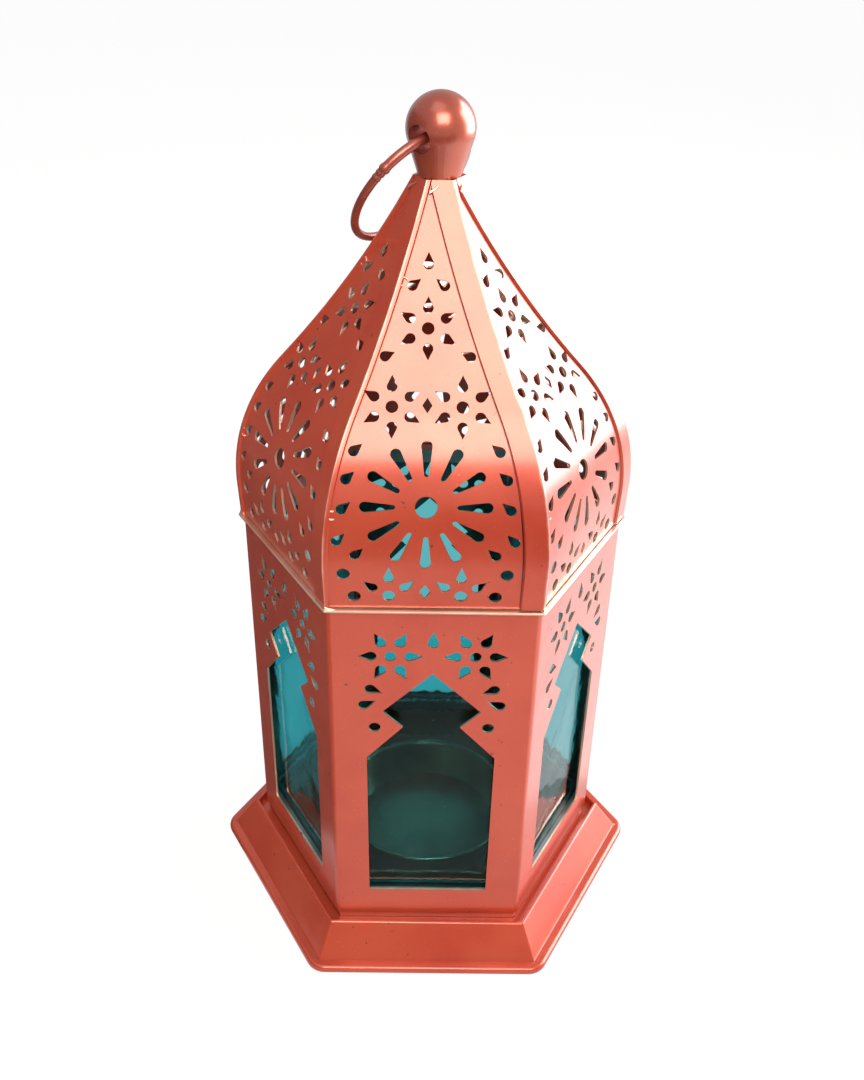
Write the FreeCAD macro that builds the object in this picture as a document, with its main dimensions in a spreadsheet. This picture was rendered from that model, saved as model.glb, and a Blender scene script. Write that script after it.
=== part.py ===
"""Candle lantern: a hexagonal pierced sheet-metal lantern with coloured panes.

Lengths are millimetres. The origin is on the floor under the middle of the base, +Z is up and the
front face looks along -Y. The driving sizes are the cells of the sheet "Sizes".
"""

import FreeCAD
import Part
import Sketcher

import math
import os

Vector = FreeCAD.Vector
UP = Vector(0, 0, 1)

# Sizes that can be set by themselves: alias, value.
SIZES = {
    # body
    "face_width": 44.0,
    "wall_sheet": 0.5,
    "wall_top": 102.1,
    "wall_bend": 1.4,
    "lip_reach": 1.1,
    "seam_gap": 0.05,
    # base
    "skirt_reach": 7.3,
    "skirt_wall": 1.2,
    "rim_bead": 2.2,
    "rim_round": 5.0,
    "rim_edge": 0.92,
    "ridge_margin": 3.0,
    "ridge_height": 10.2,
    "ledge_drop": 2.0,
    "floor_height": 2.4,
    "pan_sheet": 0.8,
    "foot_gap": 0.6,
    "collar_reach": 3.6,
    "collar_sheet": 0.6,
    "collar_fit": 0.1,
    "slip_fit": 0.3,
    # candle cup
    "cup_radius": 22.9,
    "cup_height": 10.8,
    "cup_foot": 19.6,
    "cup_sheet": 0.5,
    "cup_bead": 0.6,
    # panes and their rails
    "rest_gap": 0.05,
    "rail_fit": 0.2,
    "rail_lip": 1.0,
    "rail_wall": 0.7,
    "rail_height": 3.5,
    "rail_drop": 0.5,
    "pane_play": 0.1,
    "pane_thickness": 1.7,
    "pane_gap": 0.3,
    # roof
    "eave_gap": 0.4,
    "roof_sheet": 0.5,
    "eave_flare": 2.2,
    "eave_rise": 7.8,
    "bulge_radius": 47.0,
    "bulge_turn": 40.8,
    "sweep_radius": 202.0,
    "roof_mouth": 4.1,
    "flange_width": 4.6,
    "flange_gap": 0.3,
    "ridge_lap": 0.8,
    "lap_gap": 0.05,
    # finial and ring
    "ball_radius": 6.9,
    "ball_rise": 9.1,
    "seat_gap": 0.2,
    "neck_cover": 0.3,
    "bore_gap": 0.05,
    "bore_roof": 1.1,
    "eye_radius": 2.7,
    "eye_sink": 1.3,
    "eye_heading": 228.0,
    "crown_inset": 0.2,
    "crown_drop": 2.1,
    "crown_sheet": 0.8,
    "crown_play": 0.1,
    "screw_head": 2.6,
    "screw_face": 1.8,
    "screw_rim": 1.1,
    "screw_depth": 1.8,
    "screw_shank": 1.45,
    "screw_end": 0.4,
    "ring_radius": 14.2,
    "ring_wire": 1.0,
    "ring_play": 0.94,
    "ring_rest": 0.3,
}

# Sizes that follow from the ones above: alias, formula.
FITTED = {
    "ridge_corner": "=face_width + ridge_margin",
    "rim_corner": "=ridge_corner + skirt_reach",
    "ledge_height": "=ridge_height - ledge_drop",
    "wall_bottom": "=ridge_height + foot_gap",
    "collar_top": "=wall_bottom + collar_reach",
    "cup_top": "=floor_height + cup_height",
    "pane_setback": "=wall_sheet + rail_fit + rail_lip + pane_play",
    "rail_top": "=wall_top - rail_drop",
    "roof_bottom": "=wall_top + eave_gap",
    "neck_radius": "=roof_mouth + neck_cover",
    "crown_radius": "=roof_mouth - crown_inset",
    "eye_rise": "=ball_rise - eye_sink",
    "bore_radius": "=screw_shank + bore_gap",
    "bore_depth": "=eye_rise - eye_radius - bore_roof",
}

APOTHEM = "Sizes.face_width * sqrt(3) / 2"
# Face width, and heights of a wall's bottom and top edge, that the patterns below are drawn for.
PATTERN_FACE, PATTERN_BOTTOM, PATTERN_TOP = 44.0, 10.8, 102.1
FACES = ("rear_right", "rear", "rear_left", "front_left", "front", "front_right")

FLOWER_DOT = 1.25  # radius of a flower's middle

# Pierced pattern of one wall: across from the middle of the face, and height.
SILL = ((14.05, 18.9), (-14.05, 18.9))
ARCH = (
    (-14.25, 61.6), (-6.25, 70.5), (-10.7, 74.9), (0.0, 85.4),
    (10.7, 74.9), (6.25, 70.5), (14.25, 61.6),
)
WALL_DROP = 1.2  # radius of a drop's round end
WALL_FLOWER = (8.97, 89.9)
WALL_PETAL = (2.9, 6.9)  # from the flower's middle to the round end and to the tip
WALL_DROPS = (((10.6, 79.9), (14.4, 81.6)), ((12.0, 77.9), (15.8, 76.2)))
WALL_DOT = ((12.4, 70.4), 1.3)
WALL_TOP_DROP = ((0.0, 96.5), (0.0, 92.2))

# Pierced pattern of one roof panel: across from its middle line, and along the sheet from the eave.
ROOF_DROP = 1.05
ROOF_PETAL = (2.95, 6.35)
ROOF_FLOWERS = ((0.0, 58.0), (-6.87, 42.5), (6.87, 42.5))
ROOF_ROSETTE = (0.0, 22.85)
ROSETTE_DOT = 2.2
ROSETTE_SLOT = (6.05, 13.1)
ROSETTE_ENDS = (0.5, 1.1)  # radii of a slot's inner and outer end
ROOF_DIAMONDS = (((0.0, 42.8), 1.0, 1.6), ((0.0, 4.0), 1.2, 1.75))
ROOF_TOP_DROP = ((0.0, 73.0), (0.0, 69.5))
ROOF_DROPS = (  # mirrored about the middle line: tip, round end
    ((1.45, 67.7), (4.0, 65.7)),
    ((6.4, 53.3), (9.3, 52.0)),
    ((12.5, 35.2), (15.0, 33.1)),
    ((14.0, 29.8), (16.5, 27.6)),
    ((14.75, 23.9), (17.4, 21.6)),
    ((15.9, 17.4), (18.4, 14.9)),
    ((12.3, 14.2), (14.8, 11.9)),
    ((12.5, 6.45), (9.7, 4.25)),
    ((7.3, 10.0), (7.3, 6.2)),
    ((2.1, 6.6), (4.9, 4.35)),
)
ROOF_DOTS = (((16.4, 8.2), 1.35), ((7.3, 2.9), 1.3), ((14.3, 2.7), 1.35))
ROOF_MIDDLE = -2.0  # middle line of the pattern, across from the middle of the face

HALVINGS = 24  # steps of a search by halves
RING_POINTS = 180  # points round the ring that are held clear of the roof

doc = FreeCAD.newDocument("candle_lantern")
sheet = doc.addObject("Spreadsheet::Sheet", "Sizes")


def fill_sheet():
    cells = list(SIZES.items()) + list(FITTED.items())
    for row, (alias, content) in enumerate(cells, start=1):
        sheet.set(f"A{row}", alias)
        sheet.set(f"B{row}", str(content))
        sheet.setAlias(f"B{row}", alias)
    doc.recompute()


def size(alias):
    return float(sheet.get(alias))


def value(expression):
    """A number from an expression over the sheet's cells."""
    return float(sheet.evalExpression(expression))


def scaled(number):
    """Expression for a length of the pierced pattern, which grows with the face."""
    return f"{number} / {PATTERN_FACE} * Sizes.face_width"


def above_bottom(height):
    """Expression for a height of the wall pattern that keeps its distance from the bottom edge."""
    return f"Sizes.wall_bottom + {scaled(f'({height} - {PATTERN_BOTTOM})')}"


def below_top(height):
    """Expression for a height of the wall pattern that keeps its distance from the top edge."""
    return f"Sizes.wall_top - {scaled(f'({PATTERN_TOP} - {height})')}"


def corner(apothem):
    """Expression for the corner distance of a hexagon from its apothem."""
    return f"({apothem}) * 2 / sqrt(3)"


# Sketches


def new_body(label):
    body = doc.addObject("PartDesign::Body", label)
    body.Label = label
    return body


def new_sketch(body, role, name, height=None):
    plane = next(f for f in body.Origin.OriginFeatures if f.Role == role)
    sketch = body.newObject("Sketcher::SketchObject", name)
    sketch.AttachmentSupport = [(plane, "")]
    sketch.MapMode = "FlatFace"
    if height:
        sketch.setExpression(".AttachmentOffset.Base.z", height)
    return sketch


def constrain(sketch, kind, geometry, point, expression):
    """A signed coordinate of a point, bound to an expression."""
    index = sketch.addConstraint(Sketcher.Constraint(kind, geometry, point, value(expression)))
    sketch.setExpression(f"Constraints[{index}]", expression)


def place(sketch, geometry, point, across, along):
    constrain(sketch, "DistanceX", geometry, point, across)
    constrain(sketch, "DistanceY", geometry, point, along)


def set_radius(sketch, geometry, expression):
    index = sketch.addConstraint(Sketcher.Constraint("Radius", geometry, value(expression)))
    sketch.setExpression(f"Constraints[{index}]", expression)


def outline(sketch, points):
    """Closed outline of straight lines through points given as pairs of expressions."""
    spots = [Vector(value(across), value(along), 0) for across, along in points]
    lines = []
    for start, end in zip(spots, spots[1:] + spots[:1]):
        lines.append(sketch.addGeometry(Part.LineSegment(start, end), False))
    for line, following in zip(lines, lines[1:] + lines[:1]):
        sketch.addConstraint(Sketcher.Constraint("Coincident", line, 2, following, 1))
    for line, (across, along) in zip(lines, points):
        place(sketch, line, 1, across, along)


def hexagon(sketch, reach):
    """Regular hexagon with corners at the given distance, two of them on the X axis."""
    radius = value(reach)
    guide = sketch.addGeometry(Part.Circle(Vector(0, 0, 0), UP, radius), True)
    sketch.addConstraint(Sketcher.Constraint("Coincident", guide, 3, -1, 1))
    set_radius(sketch, guide, reach)
    spots = [Vector(radius * math.cos(k * math.pi / 3), radius * math.sin(k * math.pi / 3), 0)
             for k in range(6)]
    lines = [sketch.addGeometry(Part.LineSegment(a, b), False)
             for a, b in zip(spots, spots[1:] + spots[:1])]
    for line, following in zip(lines, lines[1:] + lines[:1]):
        sketch.addConstraint(Sketcher.Constraint("Coincident", line, 2, following, 1))
        sketch.addConstraint(Sketcher.Constraint("PointOnObject", line, 1, guide))
    for line in lines[1:]:
        sketch.addConstraint(Sketcher.Constraint("Equal", lines[0], line))
    sketch.addConstraint(Sketcher.Constraint("Horizontal", lines[1]))


def circle(sketch, centre, radius):
    across, along = centre
    spot = Vector(value(across), value(along), 0)
    ring = sketch.addGeometry(Part.Circle(spot, UP, value(radius)), False)
    place(sketch, ring, 3, across, along)
    set_radius(sketch, ring, radius)


def drop_geometry(tip, end, radius):
    """Two lines and an arc: a pointed tip, and a round end about its own middle."""
    axis = Vector(end[0] - tip[0], end[1] - tip[1], 0)
    length = axis.Length
    axis.normalize()
    side = Vector(-axis.y, axis.x, 0)
    middle = Vector(end[0], end[1], 0) - axis * radius
    lean = math.asin(radius / (length - radius))
    outward = side * math.cos(lean) - axis * math.sin(lean)
    inward = side * -math.cos(lean) - axis * math.sin(lean)
    left, right = middle + outward * radius, middle + inward * radius
    point = Vector(tip[0], tip[1], 0)
    far = middle + axis * radius
    return [Part.LineSegment(point, right), Part.Arc(right, far, left),
            Part.LineSegment(left, point)], middle


def drop(sketch, tip, end, radius):
    """A drop-shaped hole of the wall pattern, bound to the face width and the wall's top."""
    _, middle = drop_geometry(tip, end, radius)
    spots = [Vector(value(scaled(x)), value(below_top(y)), 0) for x, y in (tip, end)]
    curves, _ = drop_geometry(*spots, value(scaled(radius)))
    first, bow, last = [sketch.addGeometry(curve, False) for curve in curves]
    for a, b, c, d in ((first, 2, bow, 1), (bow, 2, last, 1)):
        sketch.addConstraint(Sketcher.Constraint("Tangent", a, b, c, d))
    sketch.addConstraint(Sketcher.Constraint("Coincident", last, 2, first, 1))
    place(sketch, first, 1, scaled(tip[0]), below_top(tip[1]))
    place(sketch, bow, 3, scaled(middle.x), below_top(middle.y))
    set_radius(sketch, bow, scaled(radius))


# Features


def add(body, kind, name, sketch, length=None):
    feature = body.newObject(f"PartDesign::{kind}", name)
    feature.Profile = sketch
    if length:
        feature.setExpression("Length", length)
    return feature


def loft(body, kind, name, lower, upper):
    feature = add(body, kind, name, lower)
    feature.Sections = [upper]
    feature.Ruled = True
    return feature


def hexagon_at(body, name, reach, height):
    sketch = new_sketch(body, "XY_Plane", name, height)
    hexagon(sketch, reach)
    return sketch


def pad_hexagon(body, name, reach, bottom, length):
    return add(body, "Pad", name, hexagon_at(body, f"{name}_outline", reach, bottom), length)


def pocket_hexagon(body, name, reach, top, depth):
    """Cuts a hexagonal recess down from the given height."""
    return add(body, "Pocket", name, hexagon_at(body, f"{name}_outline", reach, top), depth)


def revolve(body, name, sketch):
    feature = add(body, "Revolution", name, sketch)
    feature.ReferenceAxis = (sketch, ["V_Axis"])
    feature.Angle = 360
    return feature


def matching_edges(feature, test):
    doc.recompute()
    return [f"Edge{i}" for i, edge in enumerate(feature.Shape.Edges, start=1) if test(edge)]


def round_edges(body, name, feature, radius, test):
    fillet = body.newObject("PartDesign::Fillet", name)
    fillet.Base = (feature, matching_edges(feature, test))
    fillet.setExpression("Radius", radius)
    doc.recompute()
    return fillet


def leaning(edge, reach):
    """True for an edge that climbs along a corner of the hexagon with the given corner distance."""
    ends = [v.Point for v in edge.Vertexes]
    if len(ends) < 2 or abs(ends[0].z - ends[1].z) < 1e-3:
        return False
    return any(abs(math.hypot(p.x, p.y) - value(reach)) < 0.05 for p in ends)


def level_at(edge, height, reach):
    """True for a level edge at a height, no nearer the axis than the given distance."""
    box = edge.BoundBox
    middle = edge.valueAt((edge.FirstParameter + edge.LastParameter) / 2)
    flat = box.ZLength < 1e-3 and abs(box.ZMin - height) < 1e-3
    return flat and math.hypot(middle.x, middle.y) > reach


# Base


def make_base_pan():
    """Stamped pan: skirt with a rim at the floor, a ridge, a ledge and the cup's tray."""
    body = new_body("base_pan")
    rim, ridge, skin = "Sizes.rim_corner", "Sizes.ridge_corner", "Sizes.pan_sheet"
    tray = f"{APOTHEM} - Sizes.wall_sheet - Sizes.slip_fit + Sizes.collar_fit"
    hollow_foot = f"{rim} - Sizes.skirt_wall"
    hollow_top = f"{rim} - Sizes.skirt_reach * Sizes.ledge_height / Sizes.ridge_height - {skin}"
    rim_reach = f"{rim} + Sizes.rim_bead / 2"
    inside_rim = value(f"({rim}) * sqrt(3) / 2")
    deep = "Sizes.ledge_height - Sizes.floor_height"
    loft(body, "AdditiveLoft", "Skirt", hexagon_at(body, "SkirtFoot", rim, "0"),
         hexagon_at(body, "SkirtTop", ridge, "Sizes.ridge_height"))
    bead = pad_hexagon(body, "Rim", rim_reach, "0", "Sizes.rim_bead")
    corners = round_edges(body, "RimCorners", bead, "Sizes.rim_round",
                          lambda edge: leaning(edge, rim_reach))
    for name, height in (("RimUnder", 0.0), ("RimOver", size("rim_bead"))):
        corners = round_edges(body, name, corners, "Sizes.rim_edge",
                              lambda edge, z=height: level_at(edge, z, inside_rim))
    loft(body, "SubtractiveLoft", "Hollow", hexagon_at(body, "HollowFoot", hollow_foot, "0"),
         hexagon_at(body, "HollowTop", hollow_top, f"Sizes.ledge_height - {skin}"))
    pad_hexagon(body, "TrayWall", corner(f"{tray} + {skin}"), f"Sizes.floor_height - {skin}", deep)
    pocket_hexagon(body, "Ledge", f"{ridge} - {skin}", "Sizes.ridge_height", "Sizes.ledge_drop")
    pocket_hexagon(body, "Tray", corner(tray), "Sizes.ledge_height", deep)


def make_locating_collar():
    """Hexagonal band standing in the tray: the walls slip over it, the lower rail rests on it."""
    body = new_body("locating_collar")
    outer = f"{APOTHEM} - Sizes.wall_sheet - Sizes.slip_fit"
    tall = "Sizes.collar_top - Sizes.floor_height"
    pad_hexagon(body, "Band", corner(outer), "Sizes.floor_height", tall)
    inner = corner(f"{outer} - Sizes.collar_sheet")
    pocket_hexagon(body, "Inside", inner, "Sizes.collar_top", tall)


def make_candle_cup():
    """Open round dish with a rolled rim."""
    body = new_body("candle_cup")
    floor, top, skin = "Sizes.floor_height", "Sizes.cup_top", "Sizes.cup_sheet"
    wall = "Sizes.cup_radius - Sizes.cup_bead"
    dish = new_sketch(body, "XZ_Plane", "DishOutline")
    outline(dish, (
        ("0", floor), ("Sizes.cup_foot", floor), (wall, f"{top} - Sizes.cup_bead"),
        (f"{wall} - {skin}", f"{top} - Sizes.cup_bead"),
        (f"Sizes.cup_foot - {skin}", f"{floor} + {skin}"), ("0", f"{floor} + {skin}"),
    ))
    revolve(body, "Dish", dish)
    bead = new_sketch(body, "XZ_Plane", "BeadOutline")
    circle(bead, (wall, f"{top} - Sizes.cup_bead"), "Sizes.cup_bead")
    revolve(body, "Bead", bead)


# Walls


def wall_pattern(sketch):
    """Window, two flowers, drops and dots of one face."""
    outline(sketch, [(scaled(x), above_bottom(z)) for x, z in SILL]
            + [(scaled(x), below_top(z)) for x, z in ARCH])
    drop(sketch, *WALL_TOP_DROP, WALL_DROP)
    for side in (-1, 1):
        across, along = side * WALL_FLOWER[0], WALL_FLOWER[1]
        circle(sketch, (scaled(across), below_top(along)), scaled(FLOWER_DOT))
        for k in range(6):
            way = (math.cos(k * math.pi / 3), math.sin(k * math.pi / 3))
            inner, outer = WALL_PETAL
            drop(sketch, (across + outer * way[0], along + outer * way[1]),
                 (across + inner * way[0], along + inner * way[1]), WALL_DROP)
        for tip, end in WALL_DROPS:
            drop(sketch, (side * tip[0], tip[1]), (side * end[0], end[1]), WALL_DROP)
        (dot_across, dot_along), dot = WALL_DOT
        circle(sketch, (scaled(side * dot_across), below_top(dot_along)), scaled(dot))


def make_wall(label, turn):
    """Three faces of the body in one bent sheet, its top edge folded outwards."""
    body = new_body(label)
    height = "Sizes.wall_top - Sizes.wall_bottom"
    prism = pad_hexagon(body, "Prism", "Sizes.face_width", "Sizes.wall_bottom", height)
    round_edges(body, "Bends", prism, "Sizes.wall_bend",
                lambda edge: leaning(edge, "Sizes.face_width"))
    pad_hexagon(body, "Lip", corner(f"{APOTHEM} + Sizes.lip_reach"),
                "Sizes.wall_top - Sizes.wall_sheet", "Sizes.wall_sheet")
    inner = corner(f"{APOTHEM} - Sizes.wall_sheet")
    pocket_hexagon(body, "Inside", inner, "Sizes.wall_top", height)
    pierced = new_sketch(body, "XZ_Plane", "Pattern")
    wall_pattern(pierced)
    holes = add(body, "Pocket", "Piercing", pierced)
    holes.Type = "ThroughAll"
    holes.Reversed = True
    around = body.newObject("PartDesign::PolarPattern", "PiercingAround")
    around.Originals = [holes]
    axis = next(f for f in body.Origin.OriginFeatures if f.Role == "Z_Axis")
    around.Axis = (axis, [""])
    around.Angle = 360
    around.Occurrences = 6
    body.Tip = around
    half = new_sketch(body, "XY_Plane", "OtherHalf", "Sizes.wall_top")
    far, near = "2 * Sizes.face_width", "-Sizes.seam_gap"
    outline(half, ((f"-{far}", near), (far, near), (far, far), (f"-{far}", far)))
    add(body, "Pocket", "Split", half).Type = "ThroughAll"
    body.Placement = FreeCAD.Placement(Vector(0, 0, 0), FreeCAD.Rotation(UP, turn))


# Panes and rails


def make_rail(label, placement):
    """Hexagonal channel: two low walls and a web, open on top before it is placed."""
    body = new_body(label)
    outer = f"{APOTHEM} - Sizes.wall_sheet - Sizes.rail_fit"
    slot_outer = f"{outer} - Sizes.rail_lip"
    slot_inner = f"{slot_outer} - Sizes.pane_thickness - 2 * Sizes.pane_play"
    tall = "Sizes.rail_height"
    pad_hexagon(body, "Channel", corner(outer), "0", tall)
    pocket_hexagon(body, "Slot", corner(slot_outer), tall, f"{tall} - Sizes.rail_wall")
    pad_hexagon(body, "InnerWall", corner(slot_inner), "0", tall)
    pocket_hexagon(body, "Opening", corner(f"{slot_inner} - Sizes.rail_wall"), tall, tall)
    body.Placement = placement


def make_rails():
    rest = Vector(0, 0, value("Sizes.collar_top + Sizes.rest_gap"))
    make_rail("pane_rail_lower", FreeCAD.Placement(rest, FreeCAD.Rotation()))
    top = Vector(0, 0, size("rail_top"))
    over = FreeCAD.Rotation(Vector(1, 0, 0), 180)
    make_rail("pane_rail_upper", FreeCAD.Placement(top, over))


def make_panes():
    """Six flat panes, edge to edge inside the walls."""
    inner = f"{APOTHEM} - Sizes.pane_setback - Sizes.pane_thickness"
    width = f"({corner(inner)}) - 2 * Sizes.pane_gap"
    bottom = value("Sizes.collar_top + Sizes.rail_wall + 2 * Sizes.rest_gap")
    height = f"Sizes.rail_top - Sizes.rail_wall - {bottom} - Sizes.pane_gap"
    for k, face in enumerate(FACES):
        pane = doc.addObject("Part::Box", f"pane_{face}")
        pane.Label = f"pane_{face}"
        pane.setExpression("Length", "Sizes.pane_thickness")
        pane.setExpression("Width", width)
        pane.setExpression("Height", height)
        turn = FreeCAD.Rotation(UP, 30 + 60 * k)
        corner_spot = turn.multVec(Vector(value(inner), -value(width) / 2, bottom))
        pane.Placement = FreeCAD.Placement(corner_spot, turn)


# Roof


class Profile:
    """The roof panel's side view: a straight eave, a bulge and a long hollow sweep to the top.

    It is drawn in the plane of distance from the axis (x) and height (z), and measured along the
    sheet from the eave.
    """

    def __init__(self):
        flare, turn = math.radians(size("eave_flare")), math.radians(size("bulge_turn"))
        self.start = Vector(value(APOTHEM), 0, size("roof_bottom"))
        grow = size("face_width") / PATTERN_FACE
        self.rise = size("eave_rise") * grow
        self.bulge, self.sweep = size("bulge_radius") * grow, size("sweep_radius") * grow
        self.flare, self.lean = flare, turn - flare
        self.knee = self.start + self.heading(-flare) * self.rise
        self.bulge_middle = self.knee - self.outward(-flare) * self.bulge
        self.waist = self.bulge_middle + self.outward(self.lean) * self.bulge
        self.sweep_middle = self.waist + self.outward(self.lean) * self.sweep
        self.bulge_length = turn * self.bulge
        mouth_lean = math.acos((self.sweep_middle.x - size("roof_mouth")) / self.sweep)
        self.length = self.rise + self.bulge_length + (self.lean - mouth_lean) * self.sweep

    @staticmethod
    def heading(lean):
        """Direction along the sheet where it leans inwards by the given angle."""
        return Vector(-math.sin(lean), 0, math.cos(lean))

    @staticmethod
    def outward(lean):
        return Vector(math.cos(lean), 0, math.sin(lean))

    def at(self, along):
        """Point and lean at a distance along the sheet."""
        if along <= self.rise:
            return self.start + self.heading(-self.flare) * along, -self.flare
        if along <= self.rise + self.bulge_length:
            lean = (along - self.rise) / self.bulge - self.flare
            return self.bulge_middle + self.outward(lean) * self.bulge, lean
        lean = self.lean - (along - self.rise - self.bulge_length) / self.sweep
        return self.sweep_middle - self.outward(lean) * self.sweep, lean

    def curves(self, shift):
        """The profile moved outwards by a shift, as three curves from the eave to the mouth."""
        def spot(along):
            point, lean = self.at(along)
            return point + self.outward(lean) * shift
        knee, waist, last = self.rise, self.rise + self.bulge_length, self.length
        return [
            Part.LineSegment(spot(0), spot(knee)).toShape(),
            Part.Arc(spot(knee), spot((knee + waist) / 2), spot(waist)).toShape(),
            Part.Arc(spot(waist), spot((waist + last) / 2), spot(last)).toShape(),
        ]

    def top_height(self):
        return self.at(self.length)[0].z

    def clearance(self, point):
        """Distance of a point from the outside of the panels, measured square to the sheet."""
        low, high = 0.0, self.length
        if point.z >= self.top_height():
            return math.inf
        for _ in range(HALVINGS):
            along = (low + high) / 2
            low, high = (along, high) if self.at(along)[0].z < point.z else (low, along)
        turns = [math.radians(30 + 60 * k) for k in range(len(FACES))]
        reach = max(point.x * math.cos(turn) + point.y * math.sin(turn) for turn in turns)
        spot, lean = self.at(low)
        return (reach - spot.x) * math.cos(lean)

    def strip(self, inner, outer):
        """Closed face between two shifts of the profile."""
        low, high = self.curves(inner), self.curves(outer)
        ends = [Part.LineSegment(a.Vertexes[i].Point, b.Vertexes[i].Point).toShape()
                for a, b, i in ((low[0], high[0], 0), (low[-1], high[-1], -1))]
        return Part.Face(Part.Wire(Part.__sortEdges__(low + high + ends)))


def plan_prism(low, high):
    """Upright prism between two lines in plan, each given as (slope, shift) of y over x."""
    near, far = 1.0, 2 * size("face_width")
    plan = [Vector(near, low[0] * near + low[1], 0), Vector(far, low[0] * far + low[1], 0),
            Vector(far, high[0] * far + high[1], 0), Vector(near, high[0] * near + high[1], 0)]
    base = Part.Face(Part.makePolygon(plan + plan[:1]))
    base.translate(Vector(0, 0, size("wall_bottom")))
    return base.extrude(Vector(0, 0, 5 * size("face_width")))


def hole_frame(profile, along):
    """Placement whose X runs across the panel, Y up along the sheet and Z outwards."""
    point, lean = profile.at(along)
    across, up = Vector(0, 1, 0), profile.heading(lean)
    matrix = FreeCAD.Matrix(
        across.x, up.x, profile.outward(lean).x, point.x,
        across.y, up.y, profile.outward(lean).y, point.y,
        across.z, up.z, profile.outward(lean).z, point.z, 0, 0, 0, 1)
    return FreeCAD.Placement(matrix)


def roof_cutter(profile, curves, middle, grow):
    """A hole's outline, drawn flat about a distance along the sheet and pushed through it."""
    wire = Part.Wire([curve.toShape() for curve in curves])
    wire.translate(Vector(ROOF_MIDDLE, -middle, 0))
    wire.scale(grow, Vector(0, 0, 0))
    face = Part.Face(wire)
    face.Placement = hole_frame(profile, middle * grow).multiply(face.Placement)
    way = profile.outward(profile.at(middle * grow)[1])
    face.translate(way * -3)
    return face.extrude(way * 6)


def slot_curves(centre, angle):
    """One rosette slot: narrow inner end, wide round outer end."""
    way = Vector(math.cos(angle), math.sin(angle), 0)
    side = Vector(-way.y, way.x, 0)
    small, big = ROSETTE_ENDS
    inner = Vector(*centre, 0) + way * (ROSETTE_SLOT[0] + small)
    outer = Vector(*centre, 0) + way * (ROSETTE_SLOT[1] - big)
    a, b = inner - side * small, outer - side * big
    c, d = outer + side * big, inner + side * small
    return [Part.LineSegment(a, b), Part.Arc(b, outer + way * big, c),
            Part.LineSegment(c, d), Part.Arc(d, inner - way * small, a)]


def roof_holes():
    """Every hole of a panel as (curves, distance along the sheet of its middle)."""
    holes = []

    def add_drop(tip, end):
        curves = drop_geometry(tip, end, ROOF_DROP)[0]
        holes.append((curves, (tip[1] + end[1]) / 2))

    def add_dot(centre, radius):
        holes.append(([Part.Circle(Vector(*centre, 0), UP, radius)], centre[1]))

    add_drop(*ROOF_TOP_DROP)
    for centre in ROOF_FLOWERS:
        add_dot(centre, FLOWER_DOT)
        for k in range(6):
            angle = math.radians(30 + 60 * k)
            way = (math.cos(angle), math.sin(angle))
            end, tip = [(centre[0] + r * way[0], centre[1] + r * way[1]) for r in ROOF_PETAL]
            add_drop(tip, end)
    add_dot(ROOF_ROSETTE, ROSETTE_DOT)
    for k in range(12):
        angle = math.radians(30 * k)
        reach = sum(ROSETTE_SLOT) / 2
        holes.append((slot_curves(ROOF_ROSETTE, angle), ROOF_ROSETTE[1] + reach * math.sin(angle)))
    for (across, along), half, tall in ROOF_DIAMONDS:
        spots = [Vector(across + dx, along + dy, 0)
                 for dx, dy in ((half, 0), (0, tall), (-half, 0), (0, -tall))]
        lines = [Part.LineSegment(a, b) for a, b in zip(spots, spots[1:] + spots[:1])]
        holes.append((lines, along))
    for side in (-1, 1):
        for tip, end in ROOF_DROPS:
            add_drop((side * tip[0], tip[1]), (side * end[0], end[1]))
        for (across, along), radius in ROOF_DOTS:
            add_dot((side * across, along), radius)
    return holes


def roof_panel_shape(profile):
    """One panel looking along +X, with its lap flange bent over the ridge on its left.

    Seen from outside, across is +Y, so the left neighbour is this panel turned by -60 degrees.
    """
    skin, lap, width = size("roof_sheet"), size("lap_gap"), size("flange_width")
    bend, gap = size("ridge_lap"), size("flange_gap")
    grow = size("face_width") / PATTERN_FACE
    slope = math.tan(math.pi / 6)

    def sheet_between(inner, outer):
        strip = profile.strip(inner, outer)
        strip.translate(Vector(0, -2 * size("face_width"), 0))
        return strip.extrude(Vector(0, 4 * size("face_width"), 0))

    panel = sheet_between(-skin, 0).common(plan_prism((-slope, 0), (slope, -3 * lap)))
    raised = sheet_between(lap, lap + skin)
    ridge = sheet_between(-skin, lap + skin).common(plan_prism((-slope, 0), (-slope, bend)))
    flange = raised.common(plan_prism((slope, -width), (slope, 0)))
    flange = flange.common(plan_prism((-slope, bend + gap), (slope, 0)))
    flange.rotate(Vector(0, 0, 0), UP, -60)
    panel = panel.fuse([ridge, flange]).removeSplitter()
    cutters = [roof_cutter(profile, curves, middle, grow) for curves, middle in roof_holes()]
    return panel.cut(Part.makeCompound(cutters))


def make_roof(profile):
    shape = roof_panel_shape(profile)
    for k, face in enumerate(FACES):
        panel = doc.addObject("Part::Feature", f"roof_{face}")
        panel.Label = f"roof_{face}"
        panel.Shape = shape
        panel.Placement = FreeCAD.Placement(Vector(0, 0, 0), FreeCAD.Rotation(UP, 30 + 60 * k))


# Finial and ring


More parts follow.
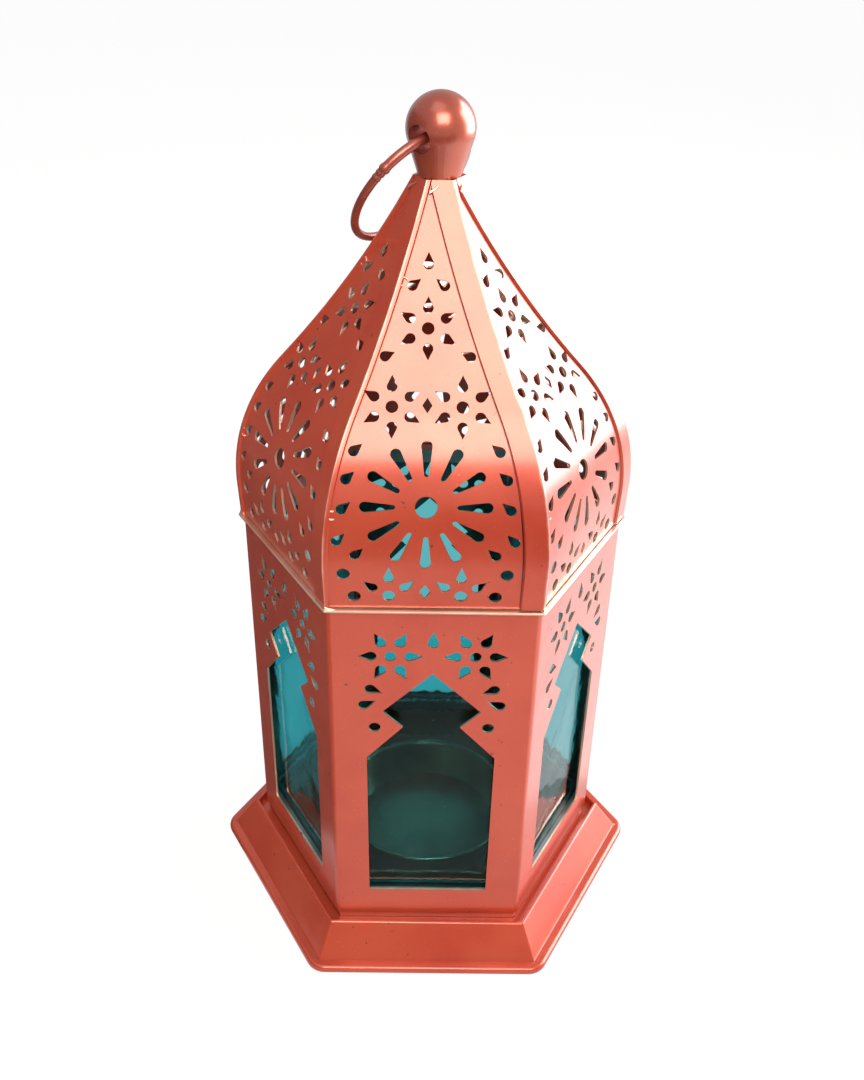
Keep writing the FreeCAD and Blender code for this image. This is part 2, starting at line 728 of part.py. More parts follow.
def make_finial(seat):
    """Onion shaped ball with a cross hole for the ring and a bore for the screw below."""
    body = new_body("finial")
    sketch = new_sketch(body, "XZ_Plane", "Outline")
    ball, rise, neck = size("ball_radius"), size("ball_rise"), size("neck_radius")
    foot, middle = Vector(neck, size("seat_gap"), 0), Vector(0, rise, 0)
    reach = foot - middle
    turn = math.atan2(reach.y, reach.x) + math.acos(ball / reach.Length)
    touch = middle + Vector(math.cos(turn), math.sin(turn), 0) * ball
    crest = middle + Vector(0, ball, 0)
    bow = sketch.addGeometry(Part.Arc(touch, middle + Vector(ball, 0, 0), crest), False)
    bore, deep = size("bore_radius"), size("bore_depth")
    spots = [crest, Vector(0, deep, 0), Vector(bore, deep, 0), Vector(bore, foot.y, 0), foot, touch]
    lines = [sketch.addGeometry(Part.LineSegment(a, b), False) for a, b in zip(spots, spots[1:])]
    for line, following in zip(lines, lines[1:]):
        sketch.addConstraint(Sketcher.Constraint("Coincident", line, 2, following, 1))
    sketch.addConstraint(Sketcher.Constraint("Coincident", bow, 2, lines[0], 1))
    sketch.addConstraint(Sketcher.Constraint("Tangent", lines[-1], 2, bow, 1))
    place(sketch, bow, 3, "0", "Sizes.ball_rise")
    set_radius(sketch, bow, "Sizes.ball_radius")
    constrain(sketch, "DistanceX", lines[0], 1, "0")
    place(sketch, lines[1], 1, "0", "Sizes.bore_depth")
    place(sketch, lines[2], 1, "Sizes.bore_radius", "Sizes.bore_depth")
    place(sketch, lines[3], 1, "Sizes.bore_radius", "Sizes.seat_gap")
    place(sketch, lines[4], 1, "Sizes.neck_radius", "Sizes.seat_gap")
    revolve(body, "Onion", sketch)
    eye = new_sketch(body, "XZ_Plane", "EyeOutline")
    circle(eye, ("0", "Sizes.eye_rise"), "Sizes.eye_radius")
    hole = add(body, "Pocket", "Eye", eye, "4 * Sizes.ball_radius")
    hole.Midplane = True
    turn = FreeCAD.Rotation(UP, size("eye_heading") - 90)
    body.Placement = FreeCAD.Placement(Vector(0, 0, seat), turn)


def make_crown_plate(seat):
    """Disc inside the top of the roof that the screw pulls up against the panels."""
    body = new_body("crown_plate")
    sketch = new_sketch(body, "XY_Plane", "Outline")
    circle(sketch, ("0", "0"), "Sizes.crown_radius")
    circle(sketch, ("0", "0"), "Sizes.screw_shank + Sizes.crown_play")
    add(body, "Pad", "Disc", sketch, "Sizes.crown_sheet")
    body.Placement = FreeCAD.Placement(Vector(0, 0, seat - size("crown_drop")), FreeCAD.Rotation())


def make_finial_screw(seat):
    """Pan head screw up through the crown plate into the finial."""
    body = new_body("finial_screw")
    sketch = new_sketch(body, "XZ_Plane", "Outline")
    head, shank = "Sizes.screw_head", "Sizes.screw_shank"
    under, tip = "-Sizes.crown_drop - Sizes.rest_gap", "Sizes.bore_depth - Sizes.screw_end"
    face = f"{under} - Sizes.screw_depth"
    outline(sketch, (
        ("0", face), ("Sizes.screw_face", face), (head, f"{under} - Sizes.screw_rim"),
        (head, under), (shank, under), (shank, tip), ("0", tip),
    ))
    revolve(body, "Turned", sketch)
    body.Placement = FreeCAD.Placement(Vector(0, 0, seat), FreeCAD.Rotation())


def ring_directions(drop):
    """Along the eye, and from the eye to the ring's middle, for a ring hanging at a drop angle."""
    heading = math.radians(size("eye_heading"))
    along = Vector(math.cos(heading), math.sin(heading), 0)
    aside = Vector(math.sin(heading), -math.cos(heading), 0)
    return along, aside * math.cos(drop) - UP * math.sin(drop)


def ring_reach():
    """Distance of the ring's middle from the middle of the eye."""
    return value("Sizes.ring_radius - Sizes.eye_radius + Sizes.ring_wire + Sizes.ring_play")


def ring_clear(profile, eye, drop):
    """True where the ring keeps its distance from the roof's flanges at a drop angle."""
    along, down = ring_directions(drop)
    radius = size("ring_radius")
    spare = value("Sizes.ring_wire + Sizes.ring_rest + Sizes.lap_gap + Sizes.roof_sheet")
    for k in range(RING_POINTS):
        turn = 2 * math.pi * k / RING_POINTS
        way = down * math.cos(turn) + along * math.sin(turn)
        if profile.clearance(eye + down * ring_reach() + way * radius) < spare:
            return False
    return True


def make_hanging_ring(profile, seat):
    """Wire ring through the eye, leaning on the roof on the side square to the eye's axis."""
    ring = doc.addObject("Part::Torus", "hanging_ring")
    ring.Label = "hanging_ring"
    ring.setExpression("Radius1", "Sizes.ring_radius")
    ring.setExpression("Radius2", "Sizes.ring_wire")
    eye = Vector(0, 0, seat + size("eye_rise"))
    drop_angle = math.pi / 2
    for k in range(1, HALVINGS):
        step = math.pi / 2 ** (k + 1)
        drop_angle += step if ring_clear(profile, eye, drop_angle) else -step
    along, down = ring_directions(drop_angle)
    turn = FreeCAD.Rotation(UP, along.cross(down))
    ring.Placement = FreeCAD.Placement(eye + down * ring_reach(), turn)


# Checks and files


def check_document(parts):
    """Raises where an object failed or a sub-part isn't one valid solid."""
    for item in doc.Objects:
        if "Invalid" in item.State or "Error" in item.State:
            raise RuntimeError(f"{item.Name} failed: {item.State}")
    for item in parts:
        shape = item.Shape
        if shape.isNull() or not shape.isValid() or len(shape.Solids) != 1:
            raise RuntimeError(f"{item.Label} isn't one valid solid")


def write_parts(parts):
    os.makedirs("parts", exist_ok=True)
    for item in parts:
        item.Shape.exportStep(f"parts/{item.Label}.step")
        box = item.Shape.BoundBox
        print(f"{item.Label}: {box.XLength:.1f} x {box.YLength:.1f} x {box.ZLength:.1f} mm,",
              f"{item.Shape.Volume:.0f} mm3")


def main():
    fill_sheet()
    make_base_pan()
    make_locating_collar()
    make_candle_cup()
    make_wall("wall_front", 0)
    make_wall("wall_rear", 180)
    make_rails()
    make_panes()
    profile = Profile()
    seat = profile.top_height()
    make_roof(profile)
    make_finial(seat)
    make_crown_plate(seat)
    make_finial_screw(seat)
    make_hanging_ring(profile, seat)
    doc.recompute()
    kinds = ("PartDesign::Body", "Part::Box", "Part::Torus", "Part::Feature")
    parts = [item for item in doc.Objects if item.TypeId in kinds]
    check_document(parts)
    write_parts(parts)


main()
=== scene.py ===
"""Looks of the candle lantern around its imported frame: lacquered sheet, coloured panes, studio."""

import math

import bpy
from bpy.props import FloatProperty, FloatVectorProperty, PointerProperty
from mathutils import Matrix, Vector


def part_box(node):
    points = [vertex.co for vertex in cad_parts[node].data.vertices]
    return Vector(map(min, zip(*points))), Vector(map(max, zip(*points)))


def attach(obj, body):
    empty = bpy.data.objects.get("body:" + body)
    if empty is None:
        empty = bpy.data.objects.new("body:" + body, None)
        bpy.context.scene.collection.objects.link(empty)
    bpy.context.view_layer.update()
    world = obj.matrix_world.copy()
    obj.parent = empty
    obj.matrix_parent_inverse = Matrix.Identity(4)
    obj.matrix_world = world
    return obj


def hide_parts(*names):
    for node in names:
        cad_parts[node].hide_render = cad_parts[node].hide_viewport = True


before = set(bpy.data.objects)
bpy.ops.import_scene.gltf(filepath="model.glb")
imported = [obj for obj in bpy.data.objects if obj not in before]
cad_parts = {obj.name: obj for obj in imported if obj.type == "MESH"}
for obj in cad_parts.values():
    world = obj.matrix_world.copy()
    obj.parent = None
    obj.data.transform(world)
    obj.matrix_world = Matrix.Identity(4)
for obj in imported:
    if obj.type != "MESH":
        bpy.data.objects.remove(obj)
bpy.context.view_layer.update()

bl_info = {
    "name": "Candle lantern",
    "version": (1, 0, 0),
    "blender": (4, 5, 0),
    "location": "View3D > Sidebar > Lantern",
    "description": "Finishes the packed candle lantern: metalwork, panes, ring and studio",
    "category": "Object",
}

MM = 0.001
FACES = ("rear_right", "rear", "rear_left", "front_left", "front", "front_right")
FACE_TURNS = {face: math.radians(30 + 60 * k) for k, face in enumerate(FACES)}
SIXTH = math.pi / 3


# Sizes and colours


def length(name, description, default, low=0.0):
    return FloatProperty(name=name, description=description, default=default * MM, min=low,
                         subtype="DISTANCE", unit="LENGTH", precision=5)


def share(name, description, default):
    return FloatProperty(name=name, description=description, default=default, min=0.0, max=1.0,
                         subtype="FACTOR")


def colour(name, description, default):
    return FloatVectorProperty(name=name, description=description, default=default, size=3,
                               min=0.0, max=1.0, subtype="COLOR")


class LanternShape(bpy.types.PropertyGroup):
    """The frame's own sizes that the finish follows."""

    face_apothem: length("Body apothem", "Middle of a body face from the axis", 38.105)
    wall_bend: length("Corner bend", "Outer radius of the body's bent corners", 1.4)
    eave_height: length("Eave height", "Lower edge of the roof panels", 102.5)
    eave_rise: length("Eave rise", "Straight part of a roof panel above the eave", 7.8)
    eave_flare: FloatProperty(name="Eave flare", description="Outward lean of the eave",
                              default=math.radians(2.2), subtype="ANGLE", unit="ROTATION")
    bulge_radius: length("Bulge radius", "Radius of the roof's bulge", 47.0)
    bulge_lean: FloatProperty(name="Bulge lean", description="Inward lean where the bulge ends",
                              default=math.radians(38.6), subtype="ANGLE", unit="ROTATION")
    sweep_radius: length("Sweep radius", "Radius of the roof's hollow sweep", 202.0)
    flange_width: length("Flange width", "Lap of one roof panel over the next", 4.6)
    ball_height: length("Ball height", "Middle of the finial's ball", 188.78)
    ball_radius: length("Ball radius", "Radius of the finial's ball", 6.9)
    eye_height: length("Eye height", "Middle of the finial's eye", 187.48)
    ring_radius: length("Ring radius", "Radius of the hanging ring's wire line", 14.2)


class LanternMetal(bpy.types.PropertyGroup):
    """Colours of the lacquered sheet and the other metals."""

    lacquer: colour("Lacquer", "Copper lacquer of the sheet metal", (0.50, 0.066, 0.029))
    lacquer_deep: colour("Deep lacquer", "Lacquer where it lies thick", (0.45, 0.046, 0.020))
    # This pale colour also paints the highlight along the roof ridges and over the body's top lip.
    edge: colour("Sheared edge", "Bare metal where the sheet was cut", (0.98, 0.72, 0.58))
    finial: colour("Finial", "Browner copper of the finial and ring", (0.46, 0.085, 0.040))
    cup: colour("Cup", "Metal of the candle cup", (0.60, 0.20, 0.13))
    steel: colour("Steel", "Plain steel of rails and screw", (0.42, 0.40, 0.38))
    roughness: share("Roughness", "Roughness of the lacquered sheet", 0.36)
    coat: share("Coat", "Weight of the clear coat", 1.0)


class LanternGlass(bpy.types.PropertyGroup):
    """Turquoise panes."""

    tint: colour("Tint", "Colour that each face of a pane lets through", (0.19, 0.77, 0.83))
    roughness: share("Roughness", "Roughness of the glass", 0.03)


class LanternStudio(bpy.types.PropertyGroup):
    """Floor, lamps and camera."""

    distance: length("Camera distance", "Camera from the point it looks at", 261.9)
    elevation: FloatProperty(name="Camera elevation", description="Camera above the horizon",
                             default=math.radians(31.317), subtype="ANGLE", unit="ROTATION")
    roll: FloatProperty(name="Camera roll", description="Turn of the camera about its view",
                        default=math.radians(0.676), subtype="ANGLE", unit="ROTATION")
    lens: FloatProperty(name="Lens", description="Focal length", default=37.087, min=1.0,
                        unit="CAMERA")


GROUPS = {
    "lantern_shape": LanternShape,
    "lantern_metal": LanternMetal,
    "lantern_glass": LanternGlass,
    "lantern_studio": LanternStudio,
}


# Mesh work


def deselect_all():
    if bpy.context.object and bpy.context.object.mode != "OBJECT":
        bpy.ops.object.mode_set(mode="OBJECT")
    bpy.ops.object.select_all(action="DESELECT")


def activate(piece):
    deselect_all()
    piece.select_set(True)
    bpy.context.view_layer.objects.active = piece


def edit(piece, kind="FACE"):
    activate(piece)
    bpy.ops.object.mode_set(mode="EDIT")
    bpy.ops.mesh.select_mode(type=kind)


def done():
    bpy.ops.object.mode_set(mode="OBJECT")


def select_faces(piece, test):
    """Selects faces by a test on the face, in edit mode."""
    edit(piece, "FACE")
    bpy.ops.mesh.select_all(action="DESELECT")
    done()
    for face in piece.data.polygons:
        face.select = test(face)
    bpy.ops.object.mode_set(mode="EDIT")


def select_edges(piece, test):
    """Selects edges by a test on their two ends, in edit mode."""
    edit(piece, "EDGE")
    bpy.ops.mesh.select_all(action="DESELECT")
    done()
    corners = piece.data.vertices
    for edge in piece.data.edges:
        edge.select = test(*(corners[i].co for i in edge.vertices))
    bpy.ops.object.mode_set(mode="EDIT")


def settle(piece):
    """Brings a finished piece's place into its mesh."""
    activate(piece)
    bpy.ops.object.transform_apply(location=True, rotation=True, scale=True)


def add_modifier(piece, kind, **settings):
    modifier = piece.modifiers.new(kind.title(), kind)
    for name, value in settings.items():
        setattr(modifier, name, value)
    return modifier


def apply_modifier(piece, kind, **settings):
    activate(piece)
    modifier = add_modifier(piece, kind, **settings)
    bpy.ops.object.modifier_apply(modifier=modifier.name)


def smooth(piece, angle=30):
    activate(piece)
    bpy.ops.object.shade_smooth_by_angle(angle=math.radians(angle))


def merged_copy(node, name):
    """A copy of a node with its loose triangles joined."""
    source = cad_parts[node]
    piece = bpy.data.objects.new(name, source.data.copy())
    piece.data.name = name
    bpy.context.scene.collection.objects.link(piece)
    piece.data.materials.clear()
    edit(piece, "VERT")
    bpy.ops.mesh.select_all(action="SELECT")
    bpy.ops.mesh.customdata_custom_splitnormals_clear()
    bpy.ops.mesh.remove_doubles(threshold=1e-6)
    bpy.ops.mesh.select_all(action="DESELECT")
    done()
    return piece


def finish_piece(piece, body, slot, *nodes):
    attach(piece, body)
    if nodes:
        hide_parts(*nodes)


def aim_normals(piece, outward, limit=20):
    """Gives faces that follow a known surface the normals of that surface."""
    mesh, least = piece.data, math.cos(math.radians(limit))
    for face in mesh.polygons:
        face.use_smooth = True
    normals = [Vector(face.normal) for face in mesh.polygons for _ in face.loop_indices]
    for face in mesh.polygons:
        middle = face.center
        for corner in face.loop_indices:
            way = outward(mesh.vertices[mesh.loops[corner].vertex_index].co, middle)
            facing = way.dot(face.normal)
            if abs(facing) > least:
                normals[corner] = way if facing > 0 else -way
    mesh.normals_split_custom_set(normals)


def sector_of(spot):
    """Direction in plan of the hexagon face that a point belongs to."""
    turn = math.radians(30) + SIXTH * round((math.atan2(spot.y, spot.x) - SIXTH / 2) / SIXTH)
    return Vector((math.cos(turn), math.sin(turn), 0))


def roof_outward(spot, middle):
    """Outward normal of the roof at a point of the panel that the middle lies on."""
    shape = bpy.context.scene.lantern_shape
    knee = shape.eave_height + shape.eave_rise * math.cos(shape.eave_flare)
    bulge_middle = knee + shape.bulge_radius * math.sin(shape.eave_flare)
    reach = (shape.bulge_radius + shape.sweep_radius) * math.sin(shape.bulge_lean)
    waist = bulge_middle + shape.bulge_radius * math.sin(shape.bulge_lean)
    if spot.z < knee:
        rise = -math.sin(shape.eave_flare)
    elif spot.z < waist:
        rise = (spot.z - bulge_middle) / shape.bulge_radius
    else:
        rise = (bulge_middle + reach - spot.z) / shape.sweep_radius
    rise = max(-1.0, min(1.0, rise))
    return sector_of(middle) * math.sqrt(1 - rise * rise) + Vector((0, 0, rise))


def wall_outward(spot, middle):
    """Outward normal of the body, round at its bent corners."""
    shape = bpy.context.scene.lantern_shape
    face = sector_of(middle)
    along = face.cross(Vector((0, 0, 1)))
    across, reach = spot.dot(along), spot.dot(face)
    flat = (shape.face_apothem - shape.wall_bend) * math.tan(SIXTH / 2)
    if abs(across) <= flat or reach < shape.face_apothem - shape.wall_bend:
        return face
    axis = face * (shape.face_apothem - shape.wall_bend) + along * math.copysign(flat, across)
    way = Vector((spot.x, spot.y, 0)) - axis
    return way.normalized() if way.length > 1e-6 else face


# Materials


def set_inputs(node, values):
    for name, value in values.items():
        if isinstance(value, bpy.types.NodeSocket):
            node.id_data.links.new(value, node.inputs[name])
        else:
            if hasattr(value, "__len__") and len(value) == 3 and len(node.inputs[name].default_value) == 4:
                value = (*value, 1)
            node.inputs[name].default_value = value


def add_node(tree, kind, values=None, **settings):
    node = tree.nodes.new(kind)
    for name, value in settings.items():
        setattr(node, name, value)
    set_inputs(node, values or {})
    return node


def maths(tree, operation, *values, clamp=False):
    node = add_node(tree, "ShaderNodeMath", dict(enumerate(values)), operation=operation,
                    use_clamp=clamp)
    return node.outputs[0]


def noise(tree, place, scale, detail=2.0, roughness=0.5):
    node = add_node(tree, "ShaderNodeTexNoise", {"Vector": place, "Scale": scale, "Detail": detail,
                                                 "Roughness": roughness})
    return node.outputs["Fac"]


def ramp(tree, value, low, high, bottom=0.0, top=1.0):
    """Smooth step of a value between two limits."""
    node = add_node(tree, "ShaderNodeMapRange",
                    {"Value": value, "From Min": low, "From Max": high, "To Min": bottom,
                     "To Max": top}, interpolation_type="SMOOTHSTEP")
    return node.outputs["Result"]


def mix(tree, factor, first, second, blend="MIX"):
    node = add_node(tree, "ShaderNodeMix", data_type="RGBA", blend_type=blend)
    for socket, value in ((node.inputs[0], factor), (node.inputs[6], first), (node.inputs[7], second)):
        if isinstance(value, bpy.types.NodeSocket):
            tree.links.new(value, socket)
        elif hasattr(value, "__len__"):
            socket.default_value = (*value, 1) if len(value) == 3 else value
        else:
            socket.default_value = value
    return node.outputs[2]


def new_group(name, inputs, outputs):
    """Shader node group with named sockets: name, kind, default."""
    tree = bpy.data.node_groups.new(name, "ShaderNodeTree")
    for label, kind, default in inputs:
        socket = tree.interface.new_socket(label, in_out="INPUT", socket_type=kind)
        if default is not None:
            socket.default_value = (*default, 1) if hasattr(default, "__len__") else default
    for label, kind in outputs:
        tree.interface.new_socket(label, in_out="OUTPUT", socket_type=kind)
    entry, leave = tree.nodes.new("NodeGroupInput"), tree.nodes.new("NodeGroupOutput")
    return tree, entry.outputs, leave.inputs


def sheet_wear_group():
    """Clouding, fine specks and handling dents of lacquered sheet."""
    if "Sheet wear" in bpy.data.node_groups:
        return bpy.data.node_groups["Sheet wear"]
    tree, given, made = new_group(
        "Sheet wear",
        [("Colour", "NodeSocketColor", (0.6, 0.1, 0.07)), ("Deep", "NodeSocketColor", (0.4, 0.05, 0.04)),
         ("Speck", "NodeSocketColor", (0.9, 0.6, 0.5)), ("Specks", "NodeSocketFloat", 0.3),
         ("Roughness", "NodeSocketFloat", 0.35), ("Dents", "NodeSocketFloat", 1.0)],
        [("Colour", "NodeSocketColor"), ("Roughness", "NodeSocketFloat"),
         ("Height", "NodeSocketFloat")])
    place = add_node(tree, "ShaderNodeTexCoord").outputs["Object"]
    cloud = noise(tree, place, 42, 3, 0.55)
    blotch = ramp(tree, cloud, 0.35, 0.72)
    fine = noise(tree, place, 1900, 2, 0.6)
    speck = ramp(tree, fine, 0.64, 0.78)
    pits = ramp(tree, noise(tree, place, 700, 1, 0.5), 0.765, 0.785)
    body = mix(tree, blotch, given["Colour"], given["Deep"])
    flecked = mix(tree, maths(tree, "MULTIPLY", speck, given["Specks"]), body, given["Speck"])
    dull = mix(tree, maths(tree, "MULTIPLY", pits, 0.75), flecked, (0.10, 0.02, 0.016))
    tree.links.new(dull, made["Colour"])
    grain = maths(tree, "MULTIPLY_ADD", noise(tree, place, 300, 3, 0.6), 0.12, given["Roughness"])
    tree.links.new(maths(tree, "MULTIPLY_ADD", pits, 0.2, maths(tree, "SUBTRACT", grain, 0.06)),
                   made["Roughness"])
    slow = maths(tree, "MULTIPLY", noise(tree, place, 55, 1, 0.4), 0.5)
    small = maths(tree, "MULTIPLY", noise(tree, place, 240, 1, 0.5), 0.035)
    peel = maths(tree, "MULTIPLY", noise(tree, place, 1300, 1, 0.5), 0.004)
    height = maths(tree, "ADD", maths(tree, "ADD", slow, small), peel)
    tree.links.new(maths(tree, "MULTIPLY", height, given["Dents"]), made["Height"])
    return tree


def principled(name, values):
    """New material with its Principled shader set up."""
    material = bpy.data.materials.new(name)
    material.use_nodes = True
    tree = material.node_tree
    shader = next(n for n in tree.nodes if n.type == "BSDF_PRINCIPLED")
    set_inputs(shader, values)
    return material, tree, shader


def ridge_lines_group():
    """Masks along the roof's ridges, for rubbed lacquer with a painted highlight, and along the free edges of its
    laps, for a painted shadow in the gap under each lap.
    """
    if "Ridge lines" in bpy.data.node_groups:
        return bpy.data.node_groups["Ridge lines"]
    tree, given, made = new_group(
        "Ridge lines",
        [("Lap", "NodeSocketFloat", 0.0046), ("Gap", "NodeSocketFloat", 0.00016),
         ("Rub and highlight", "NodeSocketFloat", 0.0005)],
        [("Ridge", "NodeSocketFloat"), ("Seam", "NodeSocketFloat")])
    place = add_node(tree, "ShaderNodeTexCoord").outputs["Object"]
    x, y, z = add_node(tree, "ShaderNodeSeparateXYZ", {"Vector": place}).outputs
    angle = maths(tree, "ARCTAN2", y, x)
    index = maths(tree, "ROUND", maths(tree, "DIVIDE", maths(tree, "SUBTRACT", angle, SIXTH / 2), SIXTH))
    turn = maths(tree, "MULTIPLY_ADD", index, SIXTH, SIXTH / 2)
    c, s = maths(tree, "COSINE", turn), maths(tree, "SINE", turn)
    reach = maths(tree, "ADD", maths(tree, "MULTIPLY", x, c), maths(tree, "MULTIPLY", y, s))
    across = maths(tree, "SUBTRACT", maths(tree, "MULTIPLY", y, c), maths(tree, "MULTIPLY", x, s))
    half = maths(tree, "MULTIPLY", reach, math.tan(SIXTH / 2))
    to_ridge = maths(tree, "SUBTRACT", half, maths(tree, "ABSOLUTE", across))
    wavy = maths(tree, "MULTIPLY", noise(tree, place, 160, 2, 0.6), 0.0008)
    # Ridge mask: rubbed lacquer plus a painted highlight along each ridge, with a wavy edge.
    ridge = ramp(tree, maths(tree, "ADD", to_ridge, wavy), 0.0, maths(tree, "ADD", given["Rub and highlight"], 0.0004), 1.0, 0.0)
    tree.links.new(ridge, made["Ridge"])
    # Seam mask: a band of noisy width past the lap's free edge, where the shadow in the gap under the lifted lap
    # is painted.
    past = maths(tree, "SUBTRACT", maths(tree, "SUBTRACT", half, across), given["Lap"])
    lift = ramp(tree, noise(tree, place, 38, 1, 0.4), 0.52, 0.7)
    width = maths(tree, "MULTIPLY_ADD", lift, maths(tree, "MULTIPLY", given["Gap"], 2.0), given["Gap"])
    seam_shadow = maths(tree, "LESS_THAN", maths(tree, "ABSOLUTE", maths(tree, "SUBTRACT", past, maths(tree, "MULTIPLY", width, 0.5))), maths(tree, "MULTIPLY", width, 0.5))
    tree.links.new(seam_shadow, made["Seam"])
    return tree


def metal(name, paint, deep, speck, roughness, specks=0.08, dents=1.0, coat=0.6, metallic=0.4,
          coat_roughness=0.2, lap=None):
    """Lacquered metal from the sheet wear group."""
    if name in bpy.data.materials:
        return bpy.data.materials[name]
    material, tree, shader = principled(name, {
        "Metallic": metallic, "Coat Weight": coat, "Coat Roughness": coat_roughness,
        "Coat IOR": 1.6, "Specular IOR Level": 0.25})
    wear = add_node(tree, "ShaderNodeGroup", node_tree=sheet_wear_group())
    set_inputs(wear, {"Colour": paint, "Deep": deep, "Speck": speck, "Specks": specks,
                      "Roughness": roughness, "Dents": dents})
    bump = add_node(tree, "ShaderNodeBump", {"Strength": 1.0, "Distance": 0.0012,
                                             "Height": wear.outputs["Height"]})
    tone = wear.outputs["Colour"]
    if lap:
        lines = add_node(tree, "ShaderNodeGroup", {}, node_tree=ridge_lines_group())
        lines.inputs["Lap"].default_value = lap
        # Ridges turn toward the pale edge colour: rubbed lacquer together with a painted highlight.
        rubbed_and_highlit = mix(tree, maths(tree, "MULTIPLY", lines.outputs["Ridge"], 0.55), tone, speck)
        # Painted shadow: a near-black band along each lap's free edge for the shade in the gap under the lifted
        # lap.
        tone = mix(tree, lines.outputs["Seam"], rubbed_and_highlit, (0.055, 0.006, 0.005))
    set_inputs(shader, {"Base Color": tone,
                        "Roughness": wear.outputs["Roughness"], "Normal": bump.outputs["Normal"]})
    return material


def roof_lacquer():
    tone, shape = bpy.context.scene.lantern_metal, bpy.context.scene.lantern_shape
    return metal("lacquered_roof", tone.lacquer, tone.lacquer_deep, tone.edge, tone.roughness,
                 coat=tone.coat, lap=shape.flange_width)


def lacquer():
    tone = bpy.context.scene.lantern_metal
    return metal("lacquered_sheet", tone.lacquer, tone.lacquer_deep, tone.edge, tone.roughness,
                 coat=tone.coat)


def sheared_edge():
    tone = bpy.context.scene.lantern_metal
    return metal("sheared_edge", tone.edge, (0.85, 0.45, 0.32), tone.edge, 0.3, specks=0.1,
                 dents=0.3, coat=0.2, metallic=0.9)


def finial_copper():
    tone = bpy.context.scene.lantern_metal
    return metal("turned_copper", tone.finial, (0.30, 0.05, 0.03), tone.edge, 0.33, specks=0.12,
                 dents=0.5, coat=1.0, metallic=0.6)


def cup_metal():
    tone = bpy.context.scene.lantern_metal
    return metal("spun_cup", tone.cup, (0.4, 0.12, 0.08), tone.edge, 0.3, specks=0.2, dents=0.5,
                 metallic=0.9)


def plain_steel():
    tone = bpy.context.scene.lantern_metal
    return metal("rolled_steel", tone.steel, (0.22, 0.20, 0.19), tone.edge, 0.4, specks=0.1,
                 dents=0.4, coat=0.0, metallic=0.95)


def pane_glass():
    """Turquoise glass with slow waves."""
    if "turquoise_glass" in bpy.data.materials:
        return bpy.data.materials["turquoise_glass"]
    glass = bpy.context.scene.lantern_glass
    material, tree, shader = principled("turquoise_glass", {
        "Metallic": 0.0, "Transmission Weight": 1.0, "IOR": 1.25})
    place = add_node(tree, "ShaderNodeTexCoord").outputs["Object"]
    wave = maths(tree, "ADD", noise(tree, place, 60, 1, 0.4),
                 maths(tree, "MULTIPLY", noise(tree, place, 420, 2, 0.5), 0.06))
    bump = add_node(tree, "ShaderNodeBump", {"Strength": 1.0, "Distance": 0.0005, "Height": wave})
    dust = ramp(tree, noise(tree, place, 1500, 2, 0.6), 0.62, 0.8)
    tinted = mix(tree, ramp(tree, noise(tree, place, 35, 2, 0.5), 0.3, 0.7),
                 tuple(glass.tint), tuple(c * 0.95 for c in glass.tint))
    set_inputs(shader, {"Base Color": tinted, "Normal": bump.outputs["Normal"],
                        "Roughness": maths(tree, "MULTIPLY_ADD", dust, 0.25, glass.roughness)})
    return material


# Operators


class LanternStep(bpy.types.Operator):
    """Shared settings of the lantern's operators."""

    bl_options = {"REGISTER", "UNDO"}


